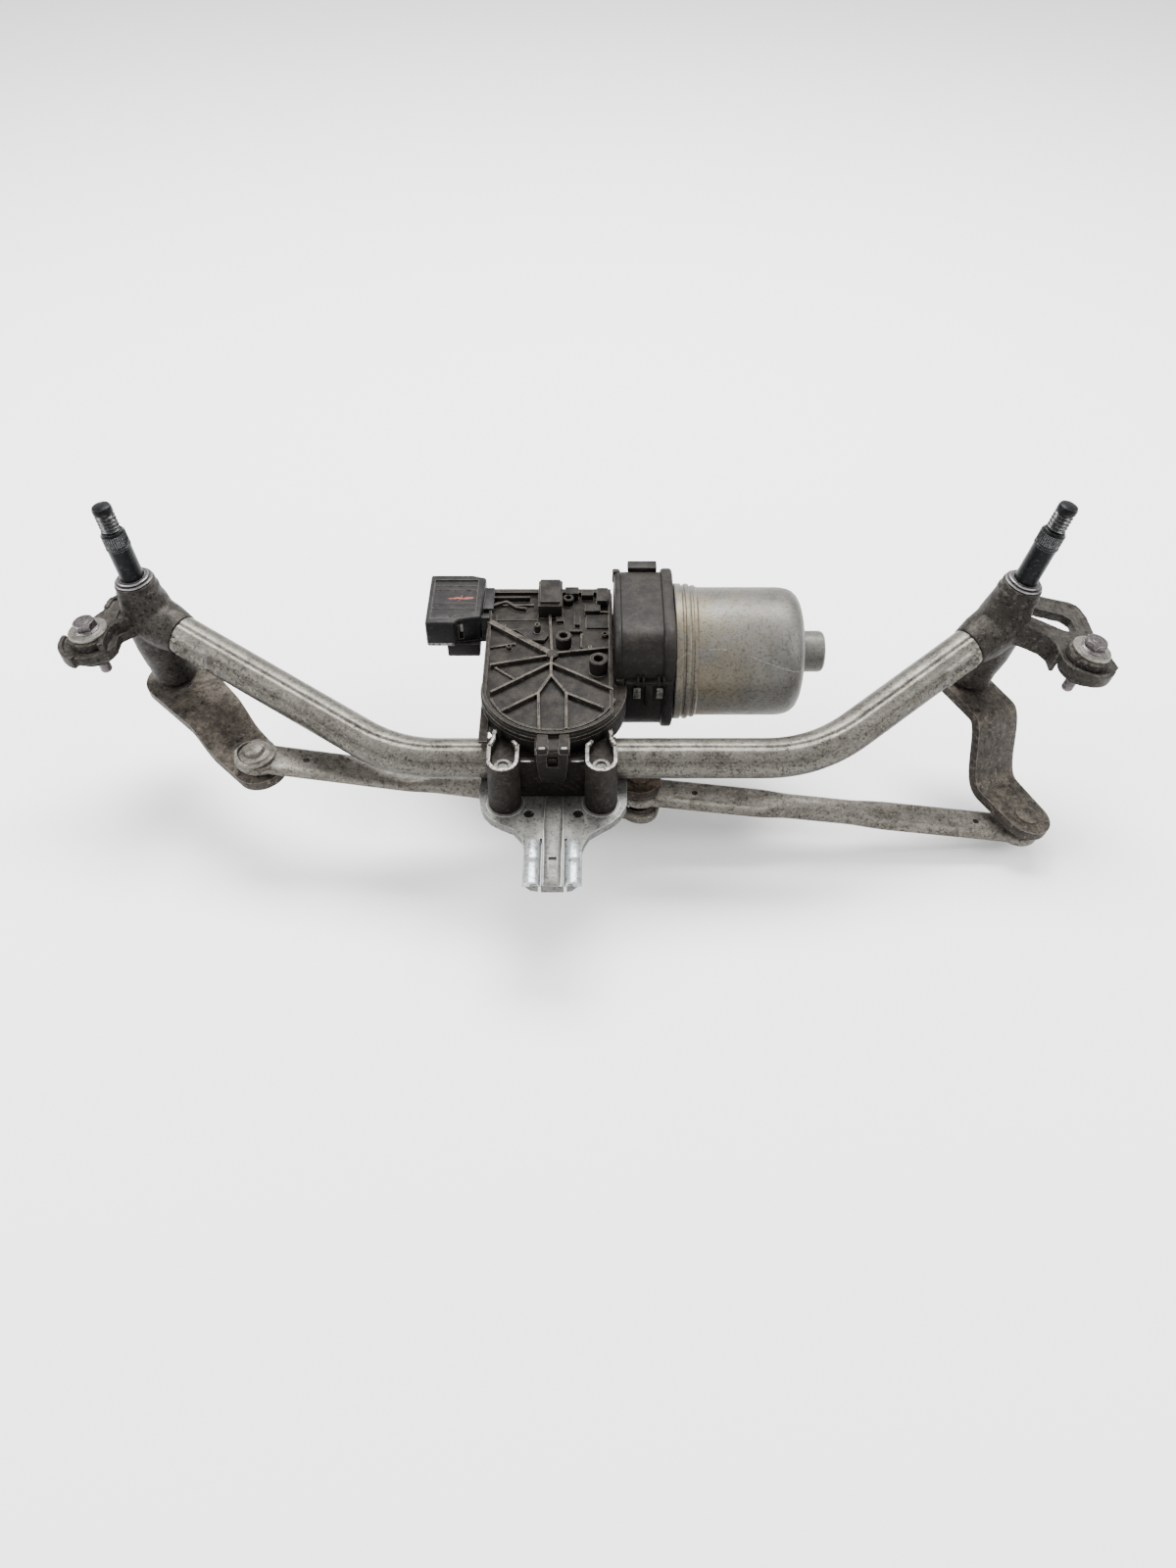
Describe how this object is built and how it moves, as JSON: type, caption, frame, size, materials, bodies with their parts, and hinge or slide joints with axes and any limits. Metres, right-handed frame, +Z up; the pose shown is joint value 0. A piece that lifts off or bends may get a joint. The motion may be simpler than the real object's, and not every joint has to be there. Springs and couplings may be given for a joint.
{
  "type": "windscreen wiper linkage with motor",
  "caption": "Gear motor with a crank and ball-jointed links that swing two leaning wiper spindles, all carried on a bent tube frame with three mounting points.",
  "frame": {"origin": "underside of the centre bracket's tongue, at the middle of the flat where the frame's front mounting holds it", "axes": "+Z up along the motor's output shaft, towards the gear cover; +X along the linkage's length, towards the motor can; +Y from the tongue to the back of the gear case"},
  "size_m": [0.5364, 0.1875, 0.1744],
  "materials": {
    "tube_paint": "grey paint, worn and dusty",
    "zinc": "zinc plated, dull",
    "casting": "rough die casting, dark with grime",
    "black_plastic": "dusty",
    "can_steel": "satin grey",
    "rubber": "matt",
    "bright_steel": "zinc plated",
    "arm_steel": "brown grime over paint",
    "link_steel": "grey paint, dusty",
    "black_steel": "black phosphate",
    "nylon": "dark",
    "acetal": "natural",
    "copper": "enamelled wire",
    "bronze": "sintered",
    "ferrite": "matt",
    "lamination": "stacked sheet",
    "board": "green",
    "carbon": "matt"
  },
  "bodies": {
    "frame_group": {"frame_tube": "tube_paint", "centre_bracket": "zinc", "gear_case": "casting", "output_bush": "bronze", "cover_gasket": "rubber", "gear_cover": "black_plastic", "connector_pins": "bronze", "control_board": "board", "motor_neck": "black_plastic", "motor_can": "can_steel", "magnet_front": "ferrite", "magnet_back": "ferrite", "rear_bush": "bronze", "shaft_bearing": "bright_steel", "brush_plate": "black_plastic", "brush_upper": "carbon", "brush_lower": "carbon", "case_screw_left": "bright_steel", "case_screw_right": "bright_steel", "left_pivot_housing": "casting", "left_upper_bush": "bronze", "left_lower_bush": "bronze", "left_thrust_washer": "zinc", "left_grommet": "rubber", "left_sleeve": "bright_steel", "left_washer": "zinc", "left_bolt": "bright_steel", "right_pivot_housing": "casting", "right_upper_bush": "bronze", "right_lower_bush": "bronze", "right_thrust_washer": "zinc", "right_grommet": "rubber", "right_sleeve": "bright_steel", "right_washer": "zinc", "right_bolt": "bright_steel"},
    "motor_armature": {"armature_shaft": "bright_steel", "rotor_core": "lamination", "windings": "copper", "commutator": "copper"},
    "crank_group": {"worm_wheel": "acetal", "output_shaft": "bright_steel", "crank_arm": "arm_steel", "crank_nut": "bright_steel", "crank_pin": "bright_steel"},
    "link_left": {"left_link": "link_steel", "left_crank_socket": "nylon", "left_rocker_socket": "nylon", "left_ball_stud": "bright_steel"},
    "rocker_left": {"left_spindle": "black_steel", "left_circlip": "black_steel", "left_rocker_arm": "arm_steel", "left_stud_rivet": "bright_steel"},
    "link_right": {"right_link": "link_steel", "right_crank_socket": "nylon", "right_rocker_socket": "nylon", "right_ball_stud": "bright_steel"},
    "rocker_right": {"right_spindle": "black_steel", "right_circlip": "black_steel", "right_rocker_arm": "arm_steel", "right_stud_rivet": "bright_steel"}
  },
  "joints": [
    {"name": "motor_spin", "type": "hinge", "parent": "frame_group", "child": "motor_armature", "pos_m": [0, 0.129, 0.0293], "axis": [1, 0, 0], "range_deg": [-8100, 0]},
    {"name": "crank_turn", "type": "hinge", "parent": "frame_group", "child": "crank_group", "pos_m": [0, 0.09, 0.0025], "axis": [0, 0, 1], "range_deg": [-136, 1]},
    {"name": "left_link_turn", "type": "hinge", "parent": "crank_group", "child": "link_left", "pos_m": [0.0445, 0.0735, -0.033], "axis": [0.0236, -0.0087, 0.9997], "range_deg": [-1, 139.12]},
    {"name": "right_link_turn", "type": "hinge", "parent": "crank_group", "child": "link_right", "pos_m": [0.0445, 0.0735, -0.021], "axis": [0.0469, -0.0194, 0.9987], "range_deg": [-1, 140.16]},
    {"name": "left_rocker_swing", "type": "hinge", "parent": "frame_group", "child": "rocker_left", "pos_m": [-0.214, 0.136, 0.0475], "axis": [-0.1045, 0, 0.9945], "range_deg": [-64.44, 1]},
    {"name": "right_rocker_swing", "type": "hinge", "parent": "frame_group", "child": "rocker_right", "pos_m": [0.233, 0.1285, 0.0475], "axis": [0.2215, 0, 0.9751], "range_deg": [-77.5, 1]}
  ],
  "couplings": [
    {"joint": "crank_turn", "follows": "motor_spin", "ratio": 0.016667},
    {"joint": "left_link_turn", "follows": "motor_spin", "ratio": -0.017051},
    {"joint": "right_link_turn", "follows": "motor_spin", "ratio": -0.01718},
    {"joint": "left_rocker_swing", "follows": "motor_spin", "ratio": 0.0078321},
    {"joint": "right_rocker_swing", "follows": "motor_spin", "ratio": 0.0094444}
  ]
}
